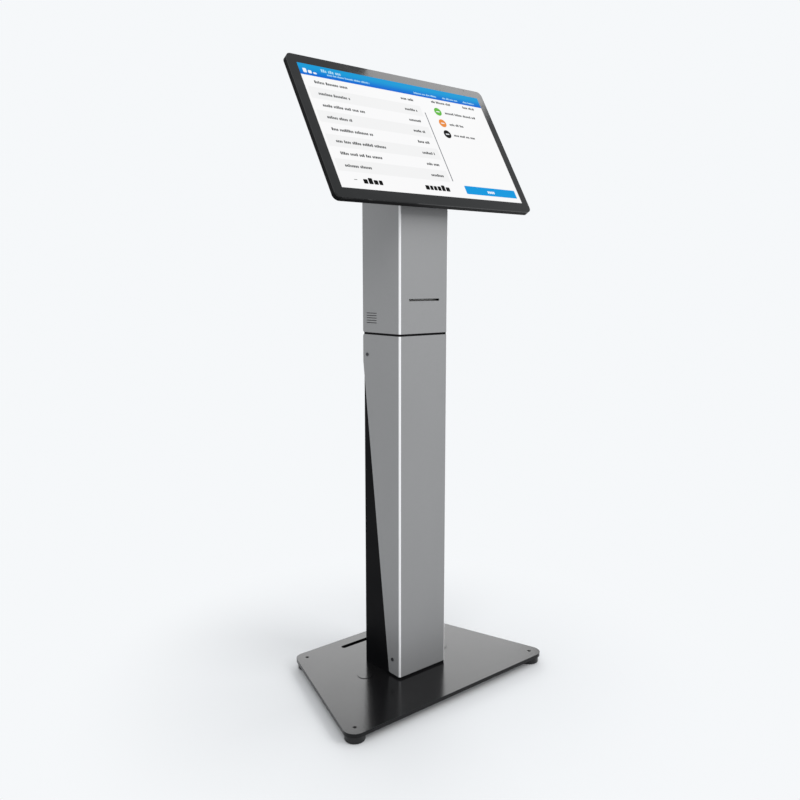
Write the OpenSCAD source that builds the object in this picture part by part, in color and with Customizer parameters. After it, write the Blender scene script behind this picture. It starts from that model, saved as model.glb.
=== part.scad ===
// Free-standing self checkout kiosk: a trapezoid base plate on levelling feet, a sheet-metal
// column with a receipt printer behind its upper cover, and a tilting touch monitor on top.
// Millimetres. +Z is up, -Y is the front. The origin is the centre of the base, on the floor.

/* [Base] */
// Width of the base plate along its front edge
base_front_w = 566; // [540:2:640]
// Width of the base plate along its rear edge
base_rear_w = 354; // [340:2:440]
// Depth of the base plate, front to rear
base_depth = 350; // [340:2:400]
// Thickness of the base plate
base_t = 8; // [8:0.5:10]
// Corner radius of the base plate
base_corner_r = 24; // [16:1:28]
// Height of the plate's underside above the floor
foot_h = 16; // [16:0.5:20]
// Radius of a levelling foot
foot_r = 20.5; // [18:0.5:22]
// Distance of a foot's axis from the two plate edges at its corner
foot_inset = 24; // [23:0.5:30]
// Length of the cable slot near the plate's rear edge
cable_slot_l = 140; // [60:2:150]
// Width of the cable slot
cable_slot_w = 12.5; // [8:0.5:16]

/* [Column] */
// Outer width of the column
column_w = 131.5; // [129:0.5:133]
// Height of the seam between the lower and the upper cover
seam_z = 759.5; // [758.5:0.5:763]
// Height of the black gap at the seam
seam_gap = 4.5; // [3:0.5:6]
// Height where the lower cover's flanges start to taper
taper_z = 700; // [640:5:704]
// Depth of the lower cover's flanges at their bottom edge
taper_bottom_d = 36; // [34:1:60]
// Height of the column's top
column_top = 1034; // [1030:1:1034]
// Width of the receipt slot
slot_w = 82.5; // [81:0.5:84]
// Height of the opening of the receipt slot
slot_h = 4.5; // [4.5:0.5:5.5]

/* [Monitor] */
// Width of the cover glass
glass_w = 515; // [512:1:520]
// Height of the cover glass
glass_h = 318; // [316:1:322]
// Corner radius of the cover glass
glass_r = 12; // [6:1:14]
// Lean of the monitor, back from vertical, in degrees
lean = 30.4; // [26:0.2:32]
// Height of the glass centre above the floor
screen_z = 1152; // [1152:1:1170]

/* [Hidden] */
$fn = 48;
cut = 1;          // how far a cutting solid runs past the face it cuts
fit = 0.05;       // radial clearance of a shaft in its hole

// Base
plate_z = foot_h;
plate_top = plate_z + base_t;
side_angle = atan((base_front_w - base_rear_w) / 2 / base_depth);
foot_y = base_depth / 2 - foot_inset;
foot_travel = 8;
stud_r = 4;
weld_nut_h = 8;
cable_slot_y = 140.4;
cable_hole_r = 20;
anchor_x = 110;
anchor_r = 6.5;
plug_r = 16;
plug_t = 3;
plug_proud = 1;
flange_t = 4.5;
flange_top = plate_top + flange_t;
flange_bolt_x = 45;
flange_bolt_ys = [-46, 38];
flange_bolt_r = 4;

// Column
column_x = column_w / 2;
column_front = -64;
column_rear = 56.6;
cover_t = 1.5;
cover_bend_r = 4;
cover_gap = 0.3;
frame_t = 2;
frame_x = column_x - cover_t - cover_gap;
frame_front = column_front + cover_t + cover_gap;
frame_rear = 55;
frame_top = column_top - frame_t;
lip_w = 14;
lip_x = frame_x - lip_w;
inner_x = frame_x - frame_t;
inner_front = frame_front + frame_t;
cover_screw_at = [[42, 715], [-40, 61.5]];
cover_screw_r = 2;
slot_z = 830;
bezel_x = 45.7;
bezel_z = 6.7;
vent_y = 27.5;
vent_z = 792;
vent_l = 34;
vent_rows = 5;

// Rear panel and door
panel_x = frame_x - 1.2;
panel_t = 1.5;
panel_top = 756;
panel_screw_x = 55;
panel_screw_zs = [62, 400, 738];
louvre_z = 290;
door_in = frame_rear + 0.6;
door_t = 2;
door_out = door_in + door_t;
door_z = [768, 1030];
hinge_x = 5 - frame_x;
door_edge = hinge_x - 1.2;
hinge_y = 60.2;
knuckle_r = 2.6;
hinge_pin_r = 1.25;
hinge_zs = [795, 960];
knuckle_h = 12;
hinge_h = 40;
lock_x = 36;
lock_z = 975;
lock_tube_r = 9;
lock_plug_r = 6;
cam_y = [48.4, 50.9];

// Power inlet
inlet_x = 14;
inlet_z = [78, 128];
inlet_rear = 59;
socket_z = 92.5;
rocker_y = 54;
rocker_z = 116;
rocker_rest = 8;

// Printer
printer_x = 50;
printer_y = [-57, 43];
printer_z = [752, 829];
roll_y = -2;
roll_z = 798;
roll_r = 38;
core_r = 8.5;
trough_r = 40;
paper_w = 79.5;
platen_y = -48;
platen_z = 838;
platen_r = 7;
platen_shaft_r = 2.5;
lid_y = 38;
lid_z = 838;
lid_pin_r = 2;
lid_plate = [846, 852];
button_x = 30;
button_z = 770;
button_r = 4;

// Monitor, in its own frame: x right, y up the glass, z out of the glass
screen_y = -41;
glass_t = 3;
bezel_back = -12;
rim_x = 9;
rim_y = 8;
tray_w = glass_w - 25;
tray_h = glass_h - 25;
tray_back = -22;
box_w = 300;
box_h = 190;
box_back = -44;
sheet_t = 1.5;
bracket_t = 3;
bracket_back = box_back - bracket_t;
vesa = 50;
vesa_r = 2;
tilt_v = -20;
tilt_d = -78;
tilt_bolt_r = 5;
tilt_y = screen_y + tilt_v * sin(lean) - tilt_d * cos(lean);
tilt_z = screen_z + tilt_v * cos(lean) + tilt_d * sin(lean);
bracket_ear_x = [36, 40];
yoke_ear_x = [41.5, 46.5];
yoke_base = [column_top, column_top + 4];
yoke_bolt_x = 28;
yoke_bolt_dy = 18;
port_z = -28;
speaker_x = 127;
power_button_at = [40, -33];
power_button_r = 5;

// ---------- shared shapes ----------

module block(lo, hi) {
  translate(lo) cube(hi - lo);
}

module x_rod(r, x0, x1, y, z) {
  translate([x0, y, z]) rotate([0, 90, 0]) cylinder(r = r, h = x1 - x0);
}

module y_rod(r, y0, y1, x, z) {
  translate([x, y1, z]) rotate([90, 0, 0]) cylinder(r = r, h = y1 - y0);
}

module z_rod(r, z0, z1, x, y) {
  translate([x, y, z0]) cylinder(r = r, h = z1 - z0);
}

// A hexagonal prism along X
module x_hex(r, x0, x1, y, z) {
  translate([x0, y, z]) rotate([0, 90, 0]) cylinder(r = r, h = x1 - x0, $fn = 6);
}

// A shape drawn in the Y-Z plane, extruded along X
module side_profile(x0, x1) {
  translate([x0, 0, 0]) rotate([90, 0, 90]) linear_extrude(x1 - x0) children();
}

module rounded_rect(w, h, r) {
  square([w - 2 * r, h], center = true);
  square([w, h - 2 * r], center = true);
  for (sx = [-1, 1], sy = [-1, 1]) translate([sx * (w / 2 - r), sy * (h / 2 - r)]) circle(r = r);
}

module rounded_slab(w, h, r, z0, z1) {
  translate([0, 0, z0]) linear_extrude(z1 - z0) rounded_rect(w, h, r);
}

// Plan of a channel: a rectangle with its two front corners rounded
module channel_plan(x, front, rear, r) {
  translate([-x, front + r]) square([2 * x, rear - front - r]);
  translate([-x + r, front]) square([2 * (x - r), 2 * r]);
  for (s = [-1, 1]) translate([s * (x - r), front + r]) circle(r = r);
}

// A sheet folded into a channel that is open to the rear
module channel(z0, z1) {
  translate([0, 0, z0]) linear_extrude(z1 - z0) difference() {
    channel_plan(column_x, column_front, column_rear, cover_bend_r);
    channel_plan(column_x - cover_t, column_front + cover_t, column_rear + cut,
                 cover_bend_r - cover_t);
  }
}

// The material outside a rounded lower rear corner, in the Y-Z plane
module corner_waste(y, z, r, up) {
  translate([y, z]) mirror([0, up < 0 ? 1 : 0]) difference() {
    translate([-r, -cut]) square([r + cut, r + cut]);
    translate([-r, r]) circle(r = r);
  }
}

// Places children at both mirror images about the Y-Z plane
module both_sides() {
  children();
  mirror([1, 0, 0]) children();
}

// Moves from the monitor's frame to the kiosk's frame
module on_monitor() {
  translate([0, screen_y, screen_z]) rotate([90 - lean, 0, 0]) children();
}

// ---------- base ----------

// Distance of the plate's side from the centre line at y, less an inset square to the side
function plate_x(y, inset) =
  base_front_w / 2 - (base_depth / 2 + y) * tan(side_angle) - inset / cos(side_angle);

module plate_outline() {
  r = base_corner_r;
  y = base_depth / 2 - r;
  shift = [r * cos(side_angle), r * sin(side_angle)];
  front = [plate_x(-y, r), -y];
  rear = [plate_x(y, r), y];
  right = [front - [0, r], front + shift, rear + shift, rear + [0, r]];
  left = [for (i = [3:-1:0]) [-right[i][0], right[i][1]]];
  polygon(concat(right, left));
  for (c = [front, rear], s = [-1, 1]) translate([s * c[0], c[1]]) circle(r = r);
}

// Moves to the foot on side sx (left -1, right 1) and end sy (front -1, rear 1)
module at_foot(sx, sy) {
  translate([sx * plate_x(sy * foot_y, foot_inset), sy * foot_y, 0]) children();
}

module at_feet() {
  for (sx = [-1, 1], sy = [-1, 1]) at_foot(sx, sy) children();
}

module base_plate() {
  color([0.06, 0.06, 0.07]) difference() {
    translate([0, 0, plate_z]) linear_extrude(base_t) plate_outline();
    at_feet() z_rod(stud_r, plate_z - cut, plate_top + cut, 0, 0);
    z_rod(cable_hole_r, plate_z - cut, plate_top + cut, 0, 0);
    for (sx = [-1, 1], y = flange_bolt_ys) {
      z_rod(flange_bolt_r + 0.5, plate_z - cut, plate_top + cut, sx * flange_bolt_x, y);
    }
    for (sx = [-1, 1]) {
      z_rod(anchor_r, plate_z - cut, plate_top + cut, sx * anchor_x, 0);
      z_rod(plug_r, plate_top - plug_t, plate_top + cut, sx * anchor_x, 0);
    }
    translate([0, cable_slot_y, plate_z - cut]) linear_extrude(base_t + 2 * cut) {
      rounded_rect(cable_slot_l, cable_slot_w, cable_slot_w / 2 - fit);
    }
  }
}

// Plugs over the two floor-anchor holes: each sits in a counterbore and stands a little proud
module anchor_plugs() {
  bevel = 0.3;
  rim = plug_r - fit;
  neck = anchor_r - fit;
  color([0.06, 0.06, 0.07]) for (sx = [-1, 1]) translate([sx * anchor_x, 0, plate_top]) rotate_extrude() {
    polygon([
      [0, plug_proud], [rim - bevel, plug_proud], [rim, plug_proud - bevel], [rim, -plug_t],
      [neck, -plug_t], [neck, -base_t + cut], [0, -base_t + cut]
    ]);
  }
}

module foot_nuts() {
  color([0.6, 0.6, 0.62]) at_feet() difference() {
    translate([0, 0, plate_z - weld_nut_h]) cylinder(r = 7.5, h = weld_nut_h, $fn = 6);
    z_rod(stud_r, plate_z - weld_nut_h - cut, plate_z + cut, 0, 0);
  }
}

// A levelling foot: a moulded cup around the weld nut, on a stud with a hexagon socket
module foot(sx, sy) {
  cup_floor = 4;
  cup_r = 9.5;
  stud_top = plate_top - 0.8;
  socket_depth = 4;
  rim = plate_z - 0.3;
  bevel = 2;
  color([0.05, 0.05, 0.05]) at_foot(sx, sy) {
    rotate_extrude() polygon([
      [0, 0], [foot_r - bevel, 0], [foot_r, bevel], [foot_r, rim - 1], [foot_r - 1, rim],
      [cup_r, rim], [cup_r, cup_floor], [0, cup_floor]
    ]);
    difference() {
      z_rod(stud_r - fit, cup_floor - cut, stud_top, 0, 0);
      translate([0, 0, stud_top - socket_depth]) cylinder(r = 2.1, h = socket_depth + cut, $fn = 6);
    }
  }
}

module base_flange() {
  color([0.1, 0.1, 0.1]) difference() {
    block([-frame_x, frame_front, plate_top], [frame_x, frame_rear, flange_top]);
    z_rod(cable_hole_r, plate_top - cut, flange_top + cut, 0, 0);
    for (sx = [-1, 1], y = flange_bolt_ys) {
      z_rod(flange_bolt_r, plate_top - cut, flange_top + cut, sx * flange_bolt_x, y);
    }
  }
}

module flange_bolts() {
  head_r = 6.5;
  head_h = 4.5;
  socket_depth = 3;
  color([0.55, 0.55, 0.57]) for (sx = [-1, 1], y = flange_bolt_ys) {
    z_rod(flange_bolt_r - fit, plate_z, flange_top + 2, sx * flange_bolt_x, y);
    difference() {
      z_rod(head_r, plate_z - head_h, plate_z, sx * flange_bolt_x, y);
      translate([sx * flange_bolt_x, y, plate_z - head_h - cut]) {
        cylinder(r = 3.4, h = socket_depth + cut, $fn = 6);
      }
    }
  }
}

// ---------- column ----------

module at_cover_screws() {
  both_sides() for (p = cover_screw_at) translate([-column_x, p[0], p[1]]) children();
}

module column_frame() {
  bend_r = cover_bend_r - cover_t;
  color([0.09, 0.09, 0.1]) difference() {
    translate([0, 0, flange_top]) linear_extrude(frame_top - flange_top) difference() {
      channel_plan(frame_x, frame_front, frame_rear, bend_r);
      translate([-inner_x, inner_front]) square([2 * inner_x, frame_rear - frame_t - inner_front]);
      translate([-lip_x, 0]) square([2 * lip_x, frame_rear + cut]);
    }
    block([-bezel_x - 0.3, frame_front - cut, slot_z - bezel_z - 0.3],
          [bezel_x + 0.3, inner_front + cut, slot_z + bezel_z + 0.3]);
    x_rod(11, -frame_x - cut, -inner_x + cut, vent_y, vent_z);
    at_cover_screws() x_rod(cover_screw_r, 0, 8, 0, 0);
    for (sx = [-1, 1], z = panel_screw_zs) {
      y_rod(cover_screw_r, frame_rear - frame_t - cut, frame_rear + cut, sx * panel_screw_x, z);
    }
  }
}

module lower_cover() {
  bottom = flange_top;
  top = seam_z - seam_gap / 2;
  low_rear = column_front + taper_bottom_d;
  color([0.62, 0.63, 0.65]) difference() {
    channel(bottom, top);
    side_profile(-column_x - cut, column_x + cut) {
      polygon([
        [column_rear + cut, bottom - cut], [low_rear, bottom - cut], [low_rear, bottom],
        [column_rear, taper_z], [column_rear + cut, taper_z]
      ]);
      corner_waste(low_rear + 1, bottom, 5, 1);
      corner_waste(column_rear, top, cover_bend_r, -1);
    }
    at_cover_screws() x_rod(cover_screw_r + 0.2, -cut, cover_t + cut, 0, 0);
  }
}

// The upper cover holds the receipt slot, and a small louvred vent for the sounder
module upper_cover() {
  bottom = seam_z + seam_gap / 2;
  vent_pitch = 5;
  slit = [cover_t + 2 * cut, vent_l, 1.4];
  color([0.62, 0.63, 0.65]) difference() {
    channel(bottom, column_top);
    side_profile(-column_x - cut, column_x + cut) corner_waste(column_rear, bottom, cover_bend_r, 1);
    block([-slot_w / 2, column_front - cut, slot_z - slot_h / 2],
          [slot_w / 2, column_front + cover_t + cut, slot_z + slot_h / 2]);
    for (i = [0:vent_rows - 1]) {
      z = vent_z + (i - (vent_rows - 1) / 2) * vent_pitch;
      translate([cover_t / 2 - column_x, vent_y, z]) cube(slit, center = true);
    }
  }
}

module cover_screws() {
  color([0.2, 0.2, 0.21]) at_cover_screws() difference() {
    union() {
      x_rod(3.6, -1.8, 0, 0, 0);
      x_rod(cover_screw_r - fit, 0, 8, 0, 0);
    }
    x_hex(1.3, -2.8, -0.6, 0, 0);
  }
}

module rear_panel() {
  color([0.09, 0.09, 0.1]) difference() {
    block([-panel_x, frame_rear, flange_top + 1.5], [panel_x, frame_rear + panel_t, panel_top]);
    for (sx = [-1, 1], z = panel_screw_zs) {
      y_rod(cover_screw_r + 0.2, frame_rear - cut, frame_rear + panel_t + cut, sx * panel_screw_x, z);
    }
    block([-inlet_x - 0.2, frame_rear - cut, inlet_z[0] - 0.2],
          [inlet_x + 0.2, frame_rear + panel_t + cut, inlet_z[1] + 0.2]);
    for (i = [0:8]) {
      z = louvre_z + i * 10;
      block([-30, frame_rear - cut, z], [30, frame_rear + panel_t + cut, z + 3]);
    }
  }
}

module rear_panel_screws() {
  head_h = 2;
  recess = 2 * (head_h - 1.2);
  color([0.2, 0.2, 0.21]) for (sx = [-1, 1], z = panel_screw_zs) {
    translate([sx * panel_screw_x, frame_rear + panel_t, z]) difference() {
      union() {
        y_rod(3.8, 0, head_h, 0, 0);
        y_rod(cover_screw_r - fit, -8, 0, 0, 0);
      }
      translate([0, head_h, 0]) {
        cube([4.8, recess, 1], center = true);
        cube([1, recess, 4.8], center = true);
      }
    }
  }
}

// ---------- power inlet and supply ----------

module inlet_body() {
  panel_face = frame_rear + panel_t;
  color([0.07, 0.07, 0.07]) difference() {
    union() {
      block([-inlet_x, 28, inlet_z[0]], [inlet_x, panel_face + cut, inlet_z[1]]);
      block([-inlet_x - 3, panel_face, inlet_z[0] - 3], [inlet_x + 3, inlet_rear, inlet_z[1] + 3]);
    }
    block([-12, 42, socket_z - 8.2], [12, inlet_rear + cut, socket_z + 8.2]);
    block([-9.5, 48.5, rocker_z - 9], [9.5, inlet_rear + cut, rocker_z + 9]);
    x_rod(1.5 + fit, -11.2, 11.2, rocker_y, rocker_z);
  }
}

module inlet_pins() {
  color([0.75, 0.72, 0.6]) for (p = [[-7, -1.5], [7, -1.5], [0, 2.5]]) {
    block([p[0] - 1, 42, socket_z + p[1] - 2], [p[0] + 1, 55.5, socket_z + p[1] + 2]);
  }
}

module power_rocker() {
  color([0.1, 0.1, 0.1]) translate([0, rocker_y, rocker_z]) rotate([rocker_rest, 0, 0]) {
    side_profile(-9, 9) polygon([[-3, -7.5], [4.5, -7.5], [3.2, 0], [4.5, 7.5], [-3, 7.5]]);
    x_rod(1.5, -11, 11, 0, 0);
  }
}

module psu_bracket() {
  color([0.5, 0.5, 0.52]) difference() {
    block([-55, inner_front, 225], [55, inner_front + 2, 445]);
    for (x = [-40, 40], z = [260, 410]) y_rod(6, inner_front - cut, inner_front + 3, x, z);
  }
}

module psu_case() {
  back = inner_front + 2;
  color([0.7, 0.7, 0.72]) difference() {
    block([-49, back, 240], [49, back + 38, 430]);
    for (i = [-6:6], j = [0:3]) y_rod(2.2, back + 36.5, back + 39, i * 6.5, 290 + j * 30);
    block([-44, back + 6, 418], [44, back + 39, 431]);
  }
}

// ---------- receipt printer ----------

module printer_shelf() {
  top = printer_z[0];
  color([0.12, 0.12, 0.13]) {
    block([-inner_x, inner_front + 0.5, top - 2], [inner_x, printer_y[1], top]);
    both_sides() block([inner_x - 2, inner_front + 10, top - 20], [inner_x, printer_y[1] - 10, top - 2]);
  }
}

module printer_body() {
  color([0.14, 0.14, 0.15]) difference() {
    union() {
      block([-printer_x, printer_y[0], printer_z[0]], [printer_x, printer_y[1], printer_z[1]]);
      both_sides() {
        block([44, lid_y - 5, printer_z[1] - cut], [printer_x, lid_y + 5, lid_z]);
        x_rod(5, 44, printer_x, lid_y, lid_z);
      }
    }
    x_rod(trough_r, -41, 41, roll_y, roll_z);
    block([-41, roll_y - trough_r, roll_z], [41, roll_y + trough_r, printer_z[1] + cut]);
    block([-42.2, platen_y - 4.2, 823.8], [42.2, platen_y + 4.2, printer_z[1] + cut]);
    x_rod(lid_pin_r + fit, -printer_x - cut, printer_x + cut, lid_y, lid_z);
    y_rod(button_r + fit, printer_y[1] - 8, printer_y[1] + cut, button_x, button_z);
  }
}

module print_head() {
  color([0.75, 0.76, 0.78]) block([-42, platen_y - 4, 823.8], [42, platen_y + 4, platen_z - platen_r - 0.3]);
}

module receipt_bezel() {
  face = column_front + cover_t;
  back = -58.2;
  color([0.04, 0.04, 0.04]) difference() {
    block([-bezel_x, face, slot_z - bezel_z], [bezel_x, back, slot_z + bezel_z]);
    block([-slot_w / 2, face - cut, slot_z - slot_h / 2], [slot_w / 2, back + cut, slot_z + slot_h / 2]);
    block([-slot_w / 2 - 1.5, face + 2, slot_z - 4], [slot_w / 2 + 1.5, back + cut, slot_z + 4]);
  }
}

// The printer's lid carries the platen between two cheeks, and turns on a pin at its rear
module printer_lid() {
  color([0.18, 0.18, 0.19]) difference() {
    union() {
      block([-printer_x, printer_y[0], lid_plate[0]], [printer_x, printer_y[1], lid_plate[1]]);
      block([-printer_x, printer_y[0], 835], [printer_x, printer_y[0] + 1.5, lid_plate[0] + cut]);
      both_sides() {
        block([44, printer_y[0], 830], [printer_x, -40, lid_plate[0] + cut]);
        block([47, -41, 832], [printer_x, 30, lid_plate[0] + cut]);
      }
      block([-43.5, lid_y - 5, lid_z], [43.5, lid_y + 5, lid_plate[0] + cut]);
      x_rod(5, -43.5, 43.5, lid_y, lid_z);
    }
    x_rod(lid_pin_r + fit, -printer_x - cut, printer_x + cut, lid_y, lid_z);
    x_rod(platen_shaft_r + fit, -printer_x - cut, printer_x + cut, platen_y, platen_z);
    for (i = [-3:3]) block([-30, i * 7 - 8, lid_plate[1] - 1], [30, i * 7 - 5, lid_plate[1] + cut]);
  }
}

module lid_hinge_pin() {
  color([0.7, 0.7, 0.72]) x_rod(lid_pin_r, -printer_x, printer_x, lid_y, lid_z);
}

module platen_rubber() {
  color([0.08, 0.08, 0.08]) difference() {
    x_rod(platen_r, -41, 41, platen_y, platen_z);
    x_rod(platen_shaft_r, -42, 42, platen_y, platen_z);
  }
}

module platen_shaft() {
  color([0.7, 0.7, 0.72]) x_rod(platen_shaft_r, -printer_x, printer_x, platen_y, platen_z);
}

module paper_roll() {
  color([0.95, 0.95, 0.93]) difference() {
    x_rod(roll_r, -paper_w / 2, paper_w / 2, roll_y, roll_z);
    x_rod(core_r, -paper_w, paper_w, roll_y, roll_z);
  }
}

module paper_core() {
  color([0.6, 0.48, 0.35]) difference() {
    x_rod(core_r, -paper_w / 2, paper_w / 2, roll_y, roll_z);
    x_rod(core_r - 2, -paper_w, paper_w, roll_y, roll_z);
  }
}

module feed_button() {
  color([0.2, 0.45, 0.75]) y_rod(button_r, printer_y[1] - 5.5, printer_y[1] + 3, button_x, button_z);
}

module sounder() {
  color([0.1, 0.1, 0.1]) difference() {
    x_rod(13, -inner_x, -inner_x + 8, vent_y, vent_z);
    x_rod(9, -inner_x - cut, -inner_x + 3, vent_y, vent_z);
  }
}

// ---------- rear door ----------

module knuckle(z0, z1) {
  difference() {
    z_rod(knuckle_r, z0, z1, hinge_x, hinge_y);
    z_rod(hinge_pin_r + fit, z0 - cut, z1 + cut, hinge_x, hinge_y);
  }
}

module rear_door() {
  color([0.09, 0.09, 0.1]) {
    difference() {
      block([door_edge, door_in, door_z[0]], [panel_x, door_out, door_z[1]]);
      y_rod(lock_tube_r + fit, door_in - cut, door_out + cut, lock_x, lock_z);
      for (i = [0:5]) block([-40, door_in - cut, 905 + i * 7], [10, door_out + cut, 908 + i * 7]);
    }
    for (z = hinge_zs) {
      knuckle(z + knuckle_h + 0.5, z + hinge_h - knuckle_h - 0.5);
      block([hinge_x, door_out - 0.5, z + knuckle_h + 0.5],
            [hinge_x + 14, door_out + 1, z + hinge_h - knuckle_h - 0.5]);
    }
  }
}

module hinge_brackets() {
  color([0.09, 0.09, 0.1]) for (z = hinge_zs, z0 = [z, z + hinge_h - knuckle_h]) {
    knuckle(z0, z0 + knuckle_h);
    block([hinge_x - knuckle_r, frame_rear, z0], [hinge_x - knuckle_r + 1, hinge_y, z0 + knuckle_h]);
  }
}

module hinge_pins() {
  color([0.7, 0.7, 0.72]) for (z = hinge_zs) {
    z_rod(hinge_pin_r, z - 1, z + hinge_h + 1, hinge_x, hinge_y);
    z_rod(2.2, z + hinge_h, z + hinge_h + 1.2, hinge_x, hinge_y);
  }
}

module lock_body() {
  color([0.75, 0.75, 0.77]) difference() {
    union() {
      y_rod(lock_tube_r, 51.5, door_out, lock_x, lock_z);
      y_rod(11, door_out, door_out + 2.2, lock_x, lock_z);
    }
    y_rod(lock_plug_r, 50, 62, lock_x, lock_z);
  }
}

module lock_nut() {
  color([0.65, 0.65, 0.67]) difference() {
    translate([lock_x, door_in, lock_z]) rotate([90, 0, 0]) cylinder(r = 11.4, h = 3, $fn = 6);
    y_rod(lock_tube_r, 50, 57, lock_x, lock_z);
  }
}

module lock_plug() {
  face = door_out + 2.2;
  color([0.8, 0.8, 0.82]) difference() {
    union() {
      y_rod(lock_plug_r - fit, 51.2, face, lock_x, lock_z);
      y_rod(3.4, cam_y[0] - 2, 51.2, lock_x, lock_z);
    }
    block([lock_x - 0.8, face - 3, lock_z - 3.6], [lock_x + 0.8, face + cut, lock_z + 3.6]);
  }
}

// The cam points up when the door is unlocked, and turns behind the frame's lip to lock it
module lock_cam() {
  color([0.7, 0.7, 0.72]) difference() {
    union() {
      y_rod(7, cam_y[0], cam_y[1], lock_x, lock_z);
      block([lock_x - 5, cam_y[0], lock_z], [lock_x + 5, cam_y[1], lock_z + 21]);
    }
    y_rod(3.4, cam_y[0] - cut, cam_y[1] + cut, lock_x, lock_z);
  }
}

// ---------- top of the column ----------

module column_cap() {
  color([0.09, 0.09, 0.1]) difference() {
    block([-frame_x, frame_front, frame_top], [frame_x, door_out, column_top]);
    z_rod(12, frame_top - cut, column_top + cut, 0, -36);
    for (sx = [-1, 1], sy = [-1, 1]) {
      z_rod(3, frame_top - cut, column_top + cut, sx * yoke_bolt_x, tilt_y + sy * yoke_bolt_dy);
    }
  }
}

module cap_grommet() {
  color([0.05, 0.05, 0.05]) difference() {
    union() {
      z_rod(12 - fit, frame_top - 1.5, column_top + 1.5, 0, -36);
      z_rod(14.5, frame_top - 1.5, frame_top, 0, -36);
      z_rod(14.5, column_top, column_top + 1.5, 0, -36);
    }
    z_rod(9, frame_top - 3, column_top + 3, 0, -36);
  }
}

module tilt_yoke() {
  half_d = 28;
  boss_r = 16;
  color([0.1, 0.1, 0.11]) difference() {
    union() {
      block([-yoke_ear_x[1], tilt_y - half_d, yoke_base[0]], [yoke_ear_x[1], tilt_y + half_d, yoke_base[1]]);
      both_sides() side_profile(yoke_ear_x[0], yoke_ear_x[1]) {
        polygon([
          [tilt_y - half_d, yoke_base[0]], [tilt_y + half_d, yoke_base[0]],
          [tilt_y + boss_r, tilt_z], [tilt_y - boss_r, tilt_z]
        ]);
        translate([tilt_y, tilt_z]) circle(r = boss_r);
      }
    }
    x_rod(tilt_bolt_r + fit, -50, 50, tilt_y, tilt_z);
    for (sx = [-1, 1], sy = [-1, 1]) {
      z_rod(3.2, column_top - cut, yoke_base[1] + cut, sx * yoke_bolt_x, tilt_y + sy * yoke_bolt_dy);
    }
  }
}

module yoke_bolts() {
  color([0.55, 0.55, 0.57]) for (sx = [-1, 1], sy = [-1, 1]) {
    translate([sx * yoke_bolt_x, tilt_y + sy * yoke_bolt_dy, 0]) {
      z_rod(3 - fit, frame_top - 4, yoke_base[1], 0, 0);
      difference() {
        z_rod(5, yoke_base[1], yoke_base[1] + 4, 0, 0);
        translate([0, 0, yoke_base[1] + 1.5]) cylinder(r = 2.6, h = 4, $fn = 6);
      }
    }
  }
}

module tilt_bolts() {
  color([0.6, 0.6, 0.62]) both_sides() {
    x_rod(tilt_bolt_r, 29, yoke_ear_x[1] + cut, tilt_y, tilt_z);
    x_hex(9, yoke_ear_x[1], yoke_ear_x[1] + 6, tilt_y, tilt_z);
  }
}

module tilt_nuts() {
  color([0.6, 0.6, 0.62]) both_sides() difference() {
    x_hex(9, 30, bracket_ear_x[0] - 0.2, tilt_y, tilt_z);
    x_rod(tilt_bolt_r, 29, 37, tilt_y, tilt_z);
  }
}

module friction_washers() {
  color([0.35, 0.3, 0.2]) both_sides() difference() {
    x_rod(12, bracket_ear_x[1] + fit, yoke_ear_x[0], tilt_y, tilt_z);
    x_rod(tilt_bolt_r + fit, bracket_ear_x[1] - cut, yoke_ear_x[0] + cut, tilt_y, tilt_z);
  }
}

// ---------- monitor ----------

module at_vesa() {
  for (sx = [-1, 1], sy = [-1, 1]) translate([sx * vesa, sy * vesa, 0]) children();
}

module tilt_bracket() {
  boss_r = 14;
  color([0.1, 0.1, 0.11]) on_monitor() difference() {
    union() {
      rounded_slab(120, 120, 6, bracket_back, box_back);
      both_sides() side_profile(bracket_ear_x[0], bracket_ear_x[1]) {
        polygon([
          [-52, bracket_back + cut], [14, bracket_back + cut], [tilt_v + boss_r, tilt_d],
          [tilt_v - boss_r, tilt_d]
        ]);
        translate([tilt_v, tilt_d]) circle(r = boss_r);
      }
    }
    x_rod(tilt_bolt_r + fit, -50, 50, tilt_v, tilt_d);
    at_vesa() z_rod(vesa_r + 0.3, bracket_back - cut, box_back + cut, 0, 0);
  }
}

module vesa_screws() {
  color([0.6, 0.6, 0.62]) on_monitor() at_vesa() {
    z_rod(vesa_r - fit, bracket_back, box_back + 5, 0, 0);
    difference() {
      z_rod(3.8, bracket_back - 2.4, bracket_back, 0, 0);
      translate([0, 0, bracket_back - 3.4]) cylinder(r = 1.6, h = 2.4, $fn = 6);
    }
  }
}

module touch_glass() {
  color([0.03, 0.03, 0.04]) on_monitor() rounded_slab(glass_w, glass_h, glass_r, -glass_t, 0);
}

// A ring around the display panel, with a flange behind it
module front_frame() {
  flange = bezel_back + sheet_t;
  color([0.05, 0.05, 0.05]) on_monitor() difference() {
    rounded_slab(glass_w, glass_h, glass_r, bezel_back, -glass_t);
    rounded_slab(glass_w - 2 * rim_x, glass_h - 2 * rim_y, 2, flange, -glass_t + cut);
    rounded_slab(tray_w - 16, tray_h - 16, 4, bezel_back - cut, flange + cut);
  }
}

module lcd_panel() {
  color([0.5, 0.55, 0.6]) on_monitor() {
    rounded_slab(glass_w - 2 * rim_x - 2, glass_h - 2 * rim_y - 2, 2, bezel_back + sheet_t, -glass_t);
  }
}

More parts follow.
